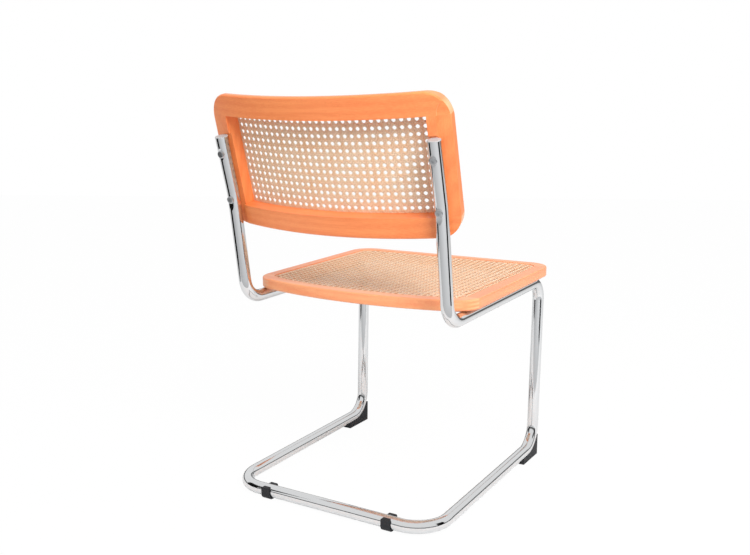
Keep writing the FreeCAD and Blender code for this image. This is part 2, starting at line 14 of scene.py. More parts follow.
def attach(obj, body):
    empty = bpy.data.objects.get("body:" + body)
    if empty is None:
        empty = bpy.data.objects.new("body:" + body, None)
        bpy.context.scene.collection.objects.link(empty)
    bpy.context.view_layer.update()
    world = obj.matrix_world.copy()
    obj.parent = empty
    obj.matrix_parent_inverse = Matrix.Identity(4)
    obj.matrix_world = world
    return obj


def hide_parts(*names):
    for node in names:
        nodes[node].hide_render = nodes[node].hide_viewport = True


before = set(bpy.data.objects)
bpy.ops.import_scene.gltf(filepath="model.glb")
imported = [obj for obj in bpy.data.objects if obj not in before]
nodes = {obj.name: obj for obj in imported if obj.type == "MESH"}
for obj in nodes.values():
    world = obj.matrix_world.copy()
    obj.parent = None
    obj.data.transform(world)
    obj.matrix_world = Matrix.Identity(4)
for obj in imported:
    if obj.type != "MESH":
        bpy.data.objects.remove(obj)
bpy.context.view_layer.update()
print("nodes in the frame:", len(nodes))

# %% [markdown]
# The chair was drawn in millimetres and Blender works in metres, so one value turns the first
# into the second. The few sizes that the new pieces share with the frame are repeated here. The
# back leans with the uprights and the seat rises a little to the front, so each of them gets a
# matrix that places flat work on it: x across, y to the rear and z up in that piece's own terms.

# %% Shared sizes and the two places
mm = 0.001
cross_run_y = 239.02 * mm
tube_radius = 12.5 * mm
half_track = 228.5 * mm
seat_corner_height = 393.1 * mm
rear_setback = 51.5 * mm
kink_height = 610.1 * mm
lower_lean = math.radians(9.67)
upper_lean = math.radians(16.37)
seat_rise = 13.0 * mm
seat_rail_length = 462.2 * mm

seat_corner_y = cross_run_y - rear_setback
kink_y = seat_corner_y + (kink_height - seat_corner_height) * math.tan(lower_lean)
back_place = Matrix.Translation((0, kink_y, kink_height)) @ Matrix.Rotation(-upper_lean, 4, "X")
seat_tilt = math.atan2(seat_rise, seat_rail_length)
seat_place = (Matrix.Translation((0, seat_corner_y, seat_corner_height))
              @ Matrix.Rotation(-seat_tilt, 4, "X"))
print("kink of the uprights at y", round(kink_y, 4))

# %% [markdown]
# Colours are written as the hex values a paint card would give. Blender calculates with linear
# light, so one function turns them. A second small function adds a shader node, sets its values
# and connects its inputs, which keeps each material short enough to read. A noise gets its scale
# as one over the size of a patch in millimetres. The last function turns a finished mesh into an
# object of the scene.


# %% Colour and node helpers
def colour(code):
    channels = [int(code[i:i + 2], 16) / 255 for i in (1, 3, 5)]
    linear = [c / 12.92 if c <= 0.04045 else ((c + 0.055) / 1.055) ** 2.4 for c in channels]
    return (*linear, 1.0)


def add(tree, kind, settings=None, links=None):
    node = tree.nodes.new(kind)
    for name, value in (settings or {}).items():
        if isinstance(name, int) or name in node.inputs:
            node.inputs[name].default_value = value
        else:
            setattr(node, name, value)
    for name, source in (links or {}).items():
        tree.links.new(source, node.inputs[name])
    return node


# the numbers of a colour Mix node's sockets
mix_share = 0
mix_first = 6
mix_second = 7
mix_result = 2


def new_material(name):
    material = bpy.data.materials.new(name)
    material.use_nodes = True
    tree = material.node_tree
    tree.nodes.clear()
    output = add(tree, "ShaderNodeOutputMaterial")
    return material, tree, output


def object_from(bm, name, finish):
    # turns a finished bmesh into an object of the scene
    mesh = bpy.data.meshes.new(name)
    bm.to_mesh(mesh)
    bm.free()
    mesh.materials.append(finish)
    made = bpy.data.objects.new(name, mesh)
    bpy.context.scene.collection.objects.link(made)
    return made


print("helpers ready")

# %% [markdown]
# Chromed steel is a mirror. It has hardly any colour of its own, so what the eye sees is the
# room. Its roughness is very low, and a faint, wide unevenness in the plating keeps the long
# reflections from looking ruled.


# %% Chromed steel tube
def chromed_steel():
    material, tree, output = new_material("chromed_steel")
    place = add(tree, "ShaderNodeTexCoord").outputs["Object"]
    waves = add(tree, "ShaderNodeTexNoise", {"Scale": 1 / (111.11 * mm), "Detail": 0.0},
                {"Vector": place})
    smudge = add(tree, "ShaderNodeTexNoise", {"Scale": 1 / (22.222 * mm), "Detail": 3.0},
                 {"Vector": place})
    rough = add(tree, "ShaderNodeMapRange", {"To Min": 0.05, "To Max": 0.11},
                {"Value": smudge.outputs["Fac"]})
    bump = add(tree, "ShaderNodeBump", {"Strength": 0.01, "Distance": 2 * mm},
               {"Height": waves.outputs["Fac"]})
    shader = add(tree, "ShaderNodeBsdfPrincipled", {"Base Color": colour("#D9DADB"), "Metallic": 1.0},
                 {"Roughness": rough.outputs["Result"], "Normal": bump.outputs["Normal"]})
    tree.links.new(shader.outputs["BSDF"], output.inputs["Surface"])
    return material


chrome = chromed_steel()

# %% [markdown]
# The frames are beech with an orange stain under a satin varnish. Beech is plain: fine streaks
# along the grain, and short dark flecks, which are its rays. Real ones are two or three
# millimetres long and are drawn at four, so that they show. The pores of the end grain are drawn
# coarser than they are for the same reason. The grain runs along each piece, so the same recipe
# is made once for each piece's direction.


# %% Stained beech
def stained_beech(name, along, seed, pale, deep):
    material, tree, output = new_material(name)
    place = add(tree, "ShaderNodeTexCoord").outputs["Object"]

    def stretched(length, width):
        # the place, drawn out so that one spot is this long and wide in millimetres
        scale = [1 / (width * mm)] * 3
        scale[along] = 1 / (length * mm)
        return add(tree, "ShaderNodeMapping", {"Scale": scale, "Location": (seed, seed, seed)},
                   {"Vector": place}).outputs["Vector"]

    broad = add(tree, "ShaderNodeTexNoise", {"Scale": 1.0, "Detail": 2.0},
                {"Vector": stretched(240, 30)})
    rings = add(tree, "ShaderNodeTexWave", {"wave_type": "RINGS", "Scale": 0.32, "Distortion": 5.0,
                                            "Detail": 2.0, "Detail Scale": 0.6},
                {"Vector": stretched(150, 16)})
    streaks = add(tree, "ShaderNodeTexNoise", {"Scale": 1.0, "Detail": 5.0, "Roughness": 0.6},
                  {"Vector": stretched(90, 1.8)})
    flecks = add(tree, "ShaderNodeTexNoise", {"Scale": 1.0, "Detail": 0.0},
                 {"Vector": stretched(4.0, 0.6)})
    figure = add(tree, "ShaderNodeMath", {"operation": "MULTIPLY_ADD", 1: 0.22},
                 {0: rings.outputs["Fac"], 2: streaks.outputs["Fac"]})
    tone = add(tree, "ShaderNodeMath", {"operation": "MULTIPLY_ADD", 1: 0.7},
               {0: broad.outputs["Fac"], 2: figure.outputs["Value"]})
    share = add(tree, "ShaderNodeMapRange", {"From Min": 0.75, "From Max": 1.2},
                {"Value": tone.outputs["Value"]})
    stain = add(tree, "ShaderNodeMix",
                {"data_type": "RGBA", mix_first: colour(deep), mix_second: colour(pale)},
                {mix_share: share.outputs["Result"]})
    ray = add(tree, "ShaderNodeMapRange", {"From Min": 0.67, "From Max": 0.75, "To Max": 0.3},
              {"Value": flecks.outputs["Fac"]})
    with_rays = add(tree, "ShaderNodeMix", {"data_type": "RGBA", mix_second: colour("#D0692F")},
                    {mix_share: ray.outputs["Result"], mix_first: stain.outputs[mix_result]})

    # end grain, where the surface looks along the grain
    facing = add(tree, "ShaderNodeSeparateXYZ", None,
                 {"Vector": add(tree, "ShaderNodeTexCoord").outputs["Normal"]}).outputs[along]
    square_on = add(tree, "ShaderNodeMath", {"operation": "ABSOLUTE"}, {0: facing})
    end_share = add(tree, "ShaderNodeMapRange", {"From Min": 0.72, "From Max": 0.86, "To Max": 0.75},
                    {"Value": square_on.outputs["Value"]})
    pores = add(tree, "ShaderNodeTexNoise", {"Scale": 1 / (0.9 * mm), "Detail": 2.0},
                {"Vector": place})
    end_tone = add(tree, "ShaderNodeMix",
                   {"data_type": "RGBA", mix_first: colour("#F3A068"), mix_second: colour("#FFC796")},
                   {mix_share: pores.outputs["Fac"]})
    base = add(tree, "ShaderNodeMix", {"data_type": "RGBA"},
               {mix_share: end_share.outputs["Result"], mix_first: with_rays.outputs[mix_result],
                mix_second: end_tone.outputs[mix_result]})

    bump = add(tree, "ShaderNodeBump", {"Strength": 0.08, "Distance": 0.4 * mm},
               {"Height": streaks.outputs["Fac"]})
    shader = add(tree, "ShaderNodeBsdfPrincipled",
                 {"Roughness": 0.42, "Coat Weight": 0.3, "Coat Roughness": 0.2},
                 {"Base Color": base.outputs[mix_result], "Normal": bump.outputs["Normal"]})
    tree.links.new(shader.outputs["BSDF"], output.inputs["Surface"])
    return material


back_stain = ("#FF9858", "#F58549")
# The seat's two stains are lighter copies of the back's stain. They are painted light, for the
# brighter light and sheen on the seat's frame. The side rails' copy is lighter than the back's but a
# little darker than the cross rails'.
seat_stain_painted_light = ("#FFAE7A", "#F99A69")
seat_side_stain_painted_light = ("#FFA46E", "#F79262")
back_beech_across = stained_beech("stained_beech_back_rails", 0, 3.1, *back_stain)
back_beech_upright = stained_beech("stained_beech_back_stiles", 2, 5.3, *back_stain)
seat_beech_across = stained_beech("stained_beech_seat_cross_rails_painted_light", 0, 9.4, *seat_stain_painted_light)
seat_beech_deep = stained_beech("stained_beech_seat_side_rails_painted_light", 1, 7.7, *seat_side_stain_painted_light)
print("beech for four grain directions")

# %% [markdown]
# Cane is the shiny bark of rattan, peeled in strips. Each strip has its own tone, from straw to a
# warm tan, which a value stored on the strip carries into the material. A second value is 1 at
# its two edges, which the material darkens. Part of that is the cut bark, which is browner there,
# and part is painted shade, which stands in for the shadow in the gaps between the strips. On the
# reed the same value is painted shade only, along its sides where it meets the groove. A little
# light also passes through the strip.


# %% Cane and reed
shine_through = 0.1


def rattan(name, pale, deep, rim_and_shade, rough):
    material, tree, output = new_material(name)
    strip = add(tree, "ShaderNodeAttribute", {"attribute_name": "tone"}).outputs["Fac"]
    edge_and_shade = add(tree, "ShaderNodeAttribute", {"attribute_name": "edge_and_shade"}).outputs["Fac"]
    place = add(tree, "ShaderNodeTexCoord").outputs["Object"]
    stains = add(tree, "ShaderNodeTexNoise", {"Scale": 1 / (16.667 * mm), "Detail": 3.0},
                 {"Vector": place})
    tone = add(tree, "ShaderNodeMath", {"operation": "MULTIPLY_ADD", 1: 0.6},
               {0: stains.outputs["Fac"], 2: strip})
    base = add(tree, "ShaderNodeMix",
               {"data_type": "RGBA", mix_first: colour(pale), mix_second: colour(deep)},
               {mix_share: tone.outputs["Value"]})
    # the edges are darkened towards the rim colour: partly browner cut bark, partly painted shade
    rim_and_shade_share = add(tree, "ShaderNodeMapRange", {"From Min": 0.55, "From Max": 1.0, "To Max": 0.75},
                    {"Value": edge_and_shade})
    rimmed_and_shaded = add(tree, "ShaderNodeMix", {"data_type": "RGBA", mix_second: colour(rim_and_shade)},
                 {mix_share: rim_and_shade_share.outputs["Result"],
                  mix_first: base.outputs[mix_result]}).outputs[mix_result]
    shader = add(tree, "ShaderNodeBsdfPrincipled", {"Roughness": rough}, {"Base Color": rimmed_and_shaded})
    glow = add(tree, "ShaderNodeBsdfTranslucent", None, {"Color": rimmed_and_shaded})
    both = add(tree, "ShaderNodeMixShader", {0: shine_through},
               {1: shader.outputs["BSDF"], 2: glow.outputs["BSDF"]})
    tree.links.new(both.outputs["Shader"], output.inputs["Surface"])
    return material


# the third colour darkens the strip edges: browner cut bark and painted shade in the gaps
cane = rattan("rattan_cane", "#FFF0D8", "#FDCFA2", "#C47A44", 0.42)
# the third colour is painted shade along the reed's sides, where it meets the groove
reed = rattan("rattan_reed", "#FFD9B8", "#F5B488", "#A9602F", 0.5)
print("cane and reed ready")

# %% [markdown]
# The feet and clips are moulded in black plastic with a fine matt texture from the mould, drawn
# at 0.6 mm, coarser than it is, so that it shows. The caps of the tube are a paler grey, which
# takes the same recipe.


# %% Moulded plastic
def moulded_plastic(name, code, rough, gloss):
    material, tree, output = new_material(name)
    place = add(tree, "ShaderNodeTexCoord").outputs["Object"]
    grit = add(tree, "ShaderNodeTexNoise", {"Scale": 1 / (0.6 * mm), "Detail": 2.0},
               {"Vector": place})
    bump = add(tree, "ShaderNodeBump", {"Strength": 0.15, "Distance": 0.2 * mm},
               {"Height": grit.outputs["Fac"]})
    shader = add(tree, "ShaderNodeBsdfPrincipled",
                 {"Base Color": colour(code), "Roughness": rough, "Specular IOR Level": gloss},
                 {"Normal": bump.outputs["Normal"]})
    tree.links.new(shader.outputs["BSDF"], output.inputs["Surface"])
    return material


black_plastic = moulded_plastic("moulded_black_plastic", "#26272A", 0.6, 0.25)
cap_plastic = moulded_plastic("grey_cap_plastic", "#B4B6B7", 0.5, 0.4)
print("plastics ready")

# %% [markdown]
# The screws are plated too, but their heads were tumbled and handled, so fine scratches spread
# the reflection and they look duller than the tube.


# %% Screw steel
def screw_steel():
    material, tree, output = new_material("screw_steel")
    place = add(tree, "ShaderNodeTexCoord").outputs["Object"]
    scratches = add(tree, "ShaderNodeTexNoise", {"Scale": 1 / (0.5 * mm), "Detail": 2.0},
                    {"Vector": place})
    rough = add(tree, "ShaderNodeMapRange", {"To Min": 0.26, "To Max": 0.38},
                {"Value": scratches.outputs["Fac"]})
    shader = add(tree, "ShaderNodeBsdfPrincipled", {"Base Color": colour("#BDBFC1"), "Metallic": 1.0},
                 {"Roughness": rough.outputs["Result"]})
    tree.links.new(shader.outputs["BSDF"], output.inputs["Surface"])
    return material


screw_metal = screw_steel()

# %% [markdown]
# Each solid of the frame now gets its finish. The wood is chosen by the way its grain runs.

# %% Finishes for the solids
finishes = {
    "frame_tube_left": chrome, "frame_tube_right": chrome, "frame_joint_sleeve": chrome,
    "back_screws": screw_metal, "seat_screws": screw_metal,
    "left_tube_cap": cap_plastic, "right_tube_cap": cap_plastic,
    "back_top_rail": back_beech_across, "back_bottom_rail": back_beech_across,
    "back_left_stile": back_beech_upright, "back_right_stile": back_beech_upright,
    "seat_front_rail": seat_beech_across, "seat_rear_rail": seat_beech_across,
    "seat_left_rail": seat_beech_deep, "seat_right_rail": seat_beech_deep,
    "back_dowels": back_beech_upright,
    "back_cane_spline": reed, "seat_cane_spline": reed,
    "front_left_foot": black_plastic, "front_right_foot": black_plastic,
    "rear_left_clip": black_plastic, "rear_right_clip": black_plastic,
}
for name, finish in finishes.items():
    node_mesh = nodes[name].data
    node_mesh.materials.clear()
    node_mesh.materials.append(finish)
print("solids with a finish:", len(finishes))

# %% [markdown]
# The cane is a real weave of six sets of strips. Two lie upright side by side and two across,
# and they pass over and under each other at each knot. Two more run at a slant, one over the
# upright pairs and under the pairs across, the other the opposite way. They cut the corners of
# the square gaps, which is where the eight-sided holes come from.

# %% Sizes of the weave
strip_width = 2.8 * mm
strip_thickness = 0.8 * mm
strip_crown = 0.2 * mm
pair_offset = 1.65 * mm
knot_lift = 0.42 * mm
slant_lift = 0.8 * mm
row_steps = (-2, -1, 0, 1, 2)
stops_per_repeat = 8
tone_spread = 0.55
shortest_strip = 4
print("strips", round(strip_width / mm, 2), "mm wide, middles of a pair",
      round(2 * pair_offset / mm, 2), "mm apart")

# %% [markdown]
# Where two straight pairs cross, one strip of each pair goes over the other pair and one goes
# under. A short sine wave lifts or lowers the strip there, and it is level between the knots, so
# it needs rows of vertices only at the knots and halfway between them.


# %% The rise and fall of a straight strip
def knot_wave(distance, pitch):
    # rises and falls once across a knot, flat between knots
    away = (distance + pitch / 2) % pitch - pitch / 2
    if abs(away) >= 2 * pair_offset:
        return 0.0
    return math.sin(math.pi * away / (2 * pair_offset))


def stops_along(low, high, pitch, origin):
    # where a straight strip needs a row of vertices: at each knot and halfway between knots
    stops = {low, high}
    first = math.floor((low - origin) / pitch) - 1
    last = math.ceil((high - origin) / pitch) + 1
    for knot in range(first, last + 1):
        centre = origin + knot * pitch
        for step in row_steps:
            stops.add(centre + step * pair_offset)
        stops.add(centre + pitch / 2)
    return sorted(stop for stop in stops if low <= stop <= high)


# %% [markdown]
# A strip starts as a flat grid, many faces long and two wide. Each row of its vertices is then
# put on the line that the strip follows. The middle of a row is a little higher than its sides,
# because the bark is rounded. A Solidify modifier gives the strip its thickness later on.


# %% One strip
def add_strip(bm, layers, rows, tone):
    # rows are (u, v, lift, across) with across a unit step square to the strip, in the sheet
    tone_layer, edge_and_shade_layer = layers
    made = bmesh.ops.create_grid(bm, x_segments=len(rows) - 1, y_segments=2, size=1.0)
    last = len(rows) - 1
    for vert in made["verts"]:
        u, v, lift, across = rows[round((vert.co.x + 1) / 2 * last)]
        side = round(vert.co.y)
        raise_by = lift + (strip_crown if side == 0 else 0.0)
        vert.co = Vector((u + across[0] * side * strip_width / 2,
                          v + across[1] * side * strip_width / 2, raise_by))
        vert[tone_layer] = tone
        # 1 at the strip's edges, which the material darkens: browner cut bark and painted shade
        vert[edge_and_shade_layer] = float(abs(side))


# %% [markdown]
# Only the stretch of a line that lies inside the sheet becomes a strip. The line is walked in
# steps of a millimetre, which is fine enough, because the ends lie hidden in the groove.


# %% Where a strip starts and ends
def inside_stretch(inside, start, direction, reach):
    steps = int(reach / mm)
    hits = [i for i in range(-steps, steps + 1)
            if inside(start[0] + direction[0] * i * mm, start[1] + direction[1] * i * mm)]
    if len(hits) < shortest_strip:
        return None
    return hits[0] * mm, hits[-1] * mm


# %% [markdown]
# The straight pairs are laid out from one knot, the origin, at the pitch of the weave. The same
# function makes the upright pairs and those across, with the two directions exchanged.


# %% Straight pairs
def straight_set(bm, layers, inside, box, pitch, origin, upright, dice):
    run, step = (1, 0) if upright else (0, 1)
    low, high = box[step]
    first = math.ceil((low - origin[step]) / pitch[step])
    last = math.floor((high - origin[step]) / pitch[step])
    for knot in range(first, last + 1):
        for side in (-1, 1):
            fixed = origin[step] + knot * pitch[step] + side * pair_offset
            start = [0.0, 0.0]
            start[step] = fixed
            start[run] = (box[run][0] + box[run][1]) / 2
            direction = [0.0, 0.0]
            direction[run] = 1.0
            stretch = inside_stretch(inside, start, direction, box[run][1] - box[run][0])
            if stretch is None:
                continue
            ends = [start[run] + value for value in stretch]
            rows = []
            sign = side if upright else -side
            for along in stops_along(ends[0], ends[1], pitch[run], origin[run]):
                lift = sign * knot_lift * knot_wave(along - origin[run], pitch[run])
                place = [0.0, 0.0]
                place[step] = fixed
                place[run] = along
                rows.append((place[0], place[1], lift, (1.0, 0.0) if upright else (0.0, 1.0)))
            add_strip(bm, layers, rows, dice.uniform(0.0, tone_spread))


# %% [markdown]
# The slanted strips cross the pairs halfway between the knots. Each rises and falls as a cosine,
# once for each repeat of the weave.


# %% Slanted strips
def slanted_set(bm, layers, inside, box, pitch, origin, slope, dice):
    length = math.hypot(pitch[0], pitch[1])
    direction = (pitch[0] / length, slope * pitch[1] / length)
    across = (-direction[1], direction[0])
    knots_wide = int((box[0][1] - box[0][0]) / pitch[0]) + 2
    knots_high = int((box[1][1] - box[1][0]) / pitch[1]) + 2
    reach = (box[0][1] - box[0][0]) + (box[1][1] - box[1][0])
    middle = round(((box[1][0] + box[1][1]) / 2 - origin[1]) / pitch[1])
    for number in range(-(knots_wide + knots_high), knots_wide + knots_high + 1):
        start = (origin[0], origin[1] + (middle + number + 0.5) * pitch[1])
        stretch = inside_stretch(inside, start, direction, reach)
        if stretch is None:
            continue
        low, high = stretch
        step = length / stops_per_repeat
        first = math.ceil(low / step)
        last = math.floor(high / step)
        stops = [low] + [i * step for i in range(first, last + 1) if low < i * step < high] + [high]
        rows = []
        for along in stops:
            turn = 2 * math.pi * along / length
            lift = -slope * slant_lift * math.cos(turn)
            u = start[0] + direction[0] * along
            v = start[1] + direction[1] * along
            rows.append((u, v, lift, across))
        add_strip(bm, layers, rows, dice.uniform(0.0, tone_spread))


# %% [markdown]
# Each of the four directions becomes one object, laid on the surface of its sheet by the
# function that bends it. The four together stand for the plain panel of the frame, which is
# hidden. The dice that choose the tones have a seed, so each run gives the same strips.


# %% A whole sheet
def tone_and_edge_shade(bm):
    return bm.verts.layers.float.new("tone"), bm.verts.layers.float.new("edge_and_shade")


def woven_piece(name, make_strips, bend):
    bm = bmesh.new()
    layers = tone_and_edge_shade(bm)
    make_strips(bm, layers)
    for vert in bm.verts:
        vert.co = bend(vert.co)
    bmesh.ops.recalc_face_normals(bm, faces=bm.faces)
    for face in bm.faces:
        face.smooth = True
    piece = object_from(bm, name, cane)
    skin = piece.modifiers.new("thickness", "SOLIDIFY")
    skin.thickness = strip_thickness
    skin.offset = 0.0
    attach(piece, "root")
    print(name, "faces", len(piece.data.polygons))
    return piece


def woven_sheet(name, inside, box, pitch, origin, bend, seed, node):
    dice = random.Random(seed)
    pieces = []
    for label, upright in (("upright", True), ("across", False)):
        pieces.append(woven_piece(
            name + "_strips_" + label,
            lambda bm, layers: straight_set(bm, layers, inside, box, pitch, origin, upright, dice),
            bend))
    for label, slope in (("rising", 1), ("falling", -1)):
        pieces.append(woven_piece(
            name + "_strips_" + label,
            lambda bm, layers: slanted_set(bm, layers, inside, box, pitch, origin, slope, dice),
            bend))
    for piece in pieces:
        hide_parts(node)


# %% [markdown]
# The back sheet bends with the wooden frame, whose bow is a circle seen from above. A point of
# the flat weave is wrapped onto that circle, and then leans back with the uprights.

# %% Cane of the back
bow_radius = 800.0 * mm
back_thickness = 30.0 * mm
cane_recess = 1.2 * mm
cane_thickness = 1.6 * mm
tube_inset = 1.5 * mm
back_opening_half_width = 214.5 * mm
back_opening_low = -24.7 * mm
back_opening_high = 155.5 * mm
back_cane_margin = 8.0 * mm

bow_sag = bow_radius - math.sqrt(bow_radius ** 2 - half_track ** 2)
bow_axis_y = -tube_radius + tube_inset + bow_sag - bow_radius
back_cane_radius = bow_radius - back_thickness + cane_recess + cane_thickness / 2
back_cane_half = math.asin(back_opening_half_width / bow_radius) * back_cane_radius + back_cane_margin
back_cane_box = ((-back_cane_half, back_cane_half),
                 (back_opening_low - back_cane_margin, back_opening_high + back_cane_margin))
back_pitch = (13.87 * mm, 13.45 * mm)
back_first_knot_drop = 2.6 * mm
back_first_knot = (0.0, back_opening_high - back_first_knot_drop)


def on_back(point):
    angle = point.x / back_cane_radius
    radius = back_cane_radius + point.z
    local = Vector((radius * math.sin(angle), bow_axis_y + radius * math.cos(angle), point.y))
    return back_place @ local


def inside_back(u, v):
    (left, right), (low, high) = back_cane_box
    return left <= u <= right and low <= v <= high


back_seed = 11
woven_sheet("back_cane", inside_back, back_cane_box, back_pitch, back_first_knot,
            on_back, back_seed, "back_cane_panel")

# %% [markdown]
# The seat sheet is flat, with the bowed rear edge and the round corners of its opening. It sags
# a little towards the middle, as cane does once it has been sat on.

# %% Cane of the seat
seat_half_width = 250.0 * mm
seat_rear_inset = 17.8 * mm
seat_depth = 471.0 * mm
seat_bow_radius = 800.0 * mm
seat_rail_width = 42.0 * mm
seat_opening_corner = 14.0 * mm
seat_thickness = 22.0 * mm
seat_frame_gap = 0.2 * mm
seat_cane_margin = 12.5 * mm
seat_sag = 3.0 * mm
seat_pitch = (13.6 * mm, 13.6 * mm)

cane_inset = seat_rail_width - seat_cane_margin
seat_cane_half = seat_half_width - cane_inset
seat_cane_rear = -seat_rear_inset - cane_inset
seat_cane_front = -seat_rear_inset - seat_depth + cane_inset
seat_cane_bow = seat_bow_radius - cane_inset
seat_cane_corner = seat_opening_corner + seat_cane_margin
seat_cane_box = ((-seat_cane_half, seat_cane_half), (seat_cane_front, seat_cane_rear))
seat_cane_height = tube_radius + seat_frame_gap + seat_thickness - cane_recess - cane_thickness / 2
seat_first_knot = (0.0, (seat_cane_front + seat_cane_rear) / 2)


def seat_rear_at(u):
    return seat_cane_rear - seat_cane_bow + math.sqrt(seat_cane_bow ** 2 - u ** 2)


def inside_seat(u, v):
    rear = seat_rear_at(min(abs(u), seat_cane_half))
    if abs(u) > seat_cane_half or v < seat_cane_front or v > rear:
        return False
    side = abs(u) - (seat_cane_half - seat_cane_corner)
    if side <= 0:
        return True
    near = max(seat_cane_front + seat_cane_corner - v, v - (rear - seat_cane_corner))
    return near <= 0 or math.hypot(side, near) <= seat_cane_corner


def on_seat(point):
    across = point.x / seat_cane_half
    middle = (seat_cane_front + seat_cane_rear) / 2
    along = (point.y - middle) / ((seat_cane_rear - seat_cane_front) / 2)
    sag = seat_sag * max(0.0, 1 - across ** 2) * max(0.0, 1 - along ** 2)
    return seat_place @ Vector((point.x, point.y, seat_cane_height + point.z - sag))


seat_seed = 23
woven_sheet("seat_cane", inside_seat, seat_cane_box, seat_pitch, seat_first_knot,
            on_seat, seat_seed, "seat_cane_panel")

# %% [markdown]
# The reed that locks the seat's sheet is a round core of rattan, pressed into the groove with
# glue, so that its crown shows as a smooth ring round the cane. A grid is bent into a long tube
# that follows the groove, and its two ends are then merged. The back has a reed too, on its far
# side, and there the frame's own solid stays.

# %% A reed ring
reed_width = 4.6 * mm
reed_sides = 10
reed_tone = 0.1
weld_distance = 0.01 * mm


def ring_piece(name, path, placed, node):
    # path is a closed list of (u, v), the middle line of the groove
    count = len(path)
    bm = bmesh.new()
    tone_layer, edge_and_shade_layer = tone_and_edge_shade(bm)
    made = bmesh.ops.create_grid(bm, x_segments=count, y_segments=reed_sides, size=1.0)
    for vert in made["verts"]:
        step = round((vert.co.x + 1) / 2 * count) % count
        turn = (vert.co.y + 1) * math.pi
        u, v = path[step]
        ahead = Vector(path[(step + 1) % count]) - Vector(path[step - 1])
        across = Vector((ahead.y, -ahead.x)).normalized() * math.cos(turn) * reed_width / 2
        vert.co = placed(Vector((u + across.x, v + across.y, math.sin(turn) * reed_width / 2)))
        vert[tone_layer] = reed_tone
        # 1 at the reed's sides, where it meets the groove: painted shade
        vert[edge_and_shade_layer] = abs(math.cos(turn)) ** 3
    bmesh.ops.remove_doubles(bm, verts=bm.verts, dist=weld_distance)
    bmesh.ops.recalc_face_normals(bm, faces=bm.faces)
    for face in bm.faces:
        face.smooth = True
    piece = object_from(bm, name, reed)
    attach(piece, "root")
    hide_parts(node)
    print(name, "faces", len(piece.data.polygons))


# %% [markdown]
# The groove's middle line runs round the seat's opening: a wide arc along the bowed rear edge,
# and four round corners joined by straight runs.

# %% Reed of the seat
corner_steps = 8
bow_steps = 30
reed_sink = 1.6 * mm


def corner_points(centre, radius, first_angle, last_angle):
    steps = corner_steps
    for i in range(steps + 1):
        angle = math.radians(first_angle + (last_angle - first_angle) * i / steps)
        yield (centre[0] + radius * math.cos(angle), centre[1] + radius * math.sin(angle))


half_reed = reed_width / 2
seat_ring_half = seat_cane_half + half_reed
seat_ring_front = seat_cane_front - half_reed
seat_ring_corner = seat_cane_corner + half_reed
seat_ring_bow = seat_cane_bow + half_reed
bow_middle = seat_cane_rear - seat_cane_bow
corner_x = seat_ring_half - seat_ring_corner
rear_corner_y = bow_middle + math.sqrt((seat_ring_bow - seat_ring_corner) ** 2 - corner_x ** 2)
bow_end = math.degrees(math.asin(corner_x / (seat_ring_bow - seat_ring_corner)))
front_corner_y = seat_ring_front + seat_ring_corner

seat_path = []
for i in range(bow_steps + 1):
    angle = math.radians(90 - bow_end + 2 * bow_end * i / bow_steps)
    seat_path.append((seat_ring_bow * math.cos(angle), bow_middle + seat_ring_bow * math.sin(angle)))
seat_path += list(corner_points((-corner_x, rear_corner_y), seat_ring_corner, 90 + bow_end, 180))[1:]
seat_path += list(corner_points((-corner_x, front_corner_y), seat_ring_corner, 180, 270))
seat_path += list(corner_points((corner_x, front_corner_y), seat_ring_corner, 270, 360))
seat_path += list(corner_points((corner_x, rear_corner_y), seat_ring_corner, 0, 90 - bow_end))[:-1]


def on_seat_groove(point):
    return seat_place @ Vector((point.x, point.y, seat_cane_height - reed_sink + point.z))


ring_piece("seat_reed_ring", seat_path, on_seat_groove, "seat_cane_spline")

# %% [markdown]
# The room. A pale floor stands in for the paper roll of a photographer's studio. To the camera it
# is white, and a trace of shadow stays on it. It is two sheets: white paper under the chair and
# beyond it, and a grey floor on the camera's side, which only the chrome shows, as a soft shade
# on the lower half of each tube.

# %% Floor
camera_place = Vector((-0.90172, 1.59145, 0.75149))
looks_to = Vector((0.49978644, -0.84875991, -0.17268506))
right_hand = Vector((-0.86109927, -0.50839411, 0.00659465))
white = (1, 1, 1, 1)
floor_width = 14.0
floor_drop = 0.5 * mm
floor_glow = 0.97
grey_start = -5.0
paper_start = 1.4
paper_end = 9.0


def flat_sheet(width, depth):
    bm = bmesh.new()
    bmesh.ops.create_grid(bm, x_segments=1, y_segments=1, size=0.5)
    bmesh.ops.scale(bm, vec=(width, depth, 1), verts=bm.verts)
    return bm


def floor_surface(name, code):
    material, tree, output = new_material(name)
    seen = add(tree, "ShaderNodeLightPath").outputs["Is Camera Ray"]
    paper = add(tree, "ShaderNodeBsdfDiffuse", {"Color": colour(code)})
    glow = add(tree, "ShaderNodeEmission", {"Color": white, "Strength": 1.0})
    share = add(tree, "ShaderNodeMath", {"operation": "MULTIPLY", 1: floor_glow}, {0: seen})
    both = add(tree, "ShaderNodeMixShader", None,
               {0: share.outputs["Value"], 1: paper.outputs["BSDF"], 2: glow.outputs["Emission"]})
    tree.links.new(both.outputs["Shader"], output.inputs["Surface"])
    return material


def studio_floor(name, near, far, code):
    # a sheet square to the camera's line, from near to far in metres beyond the camera
    bm = flat_sheet(floor_width, far - near)
    bmesh.ops.translate(bm, vec=(0, (near + far) / 2, 0), verts=bm.verts)
    heading = math.atan2(-looks_to.x, looks_to.y)
    under_camera = Matrix.Translation((camera_place.x, camera_place.y, -floor_drop))
    bmesh.ops.transform(bm, matrix=under_camera @ Matrix.Rotation(heading, 4, "Z"), verts=bm.verts)
    floor = object_from(bm, name, floor_surface(name + "_surface", code))
    print(name, "from", near, "to", far, "m")


studio_floor("white_paper_floor", paper_start, paper_end, "#F4F4F4")
studio_floor("grey_studio_floor", grey_start, paper_start, "#BDBEBF")

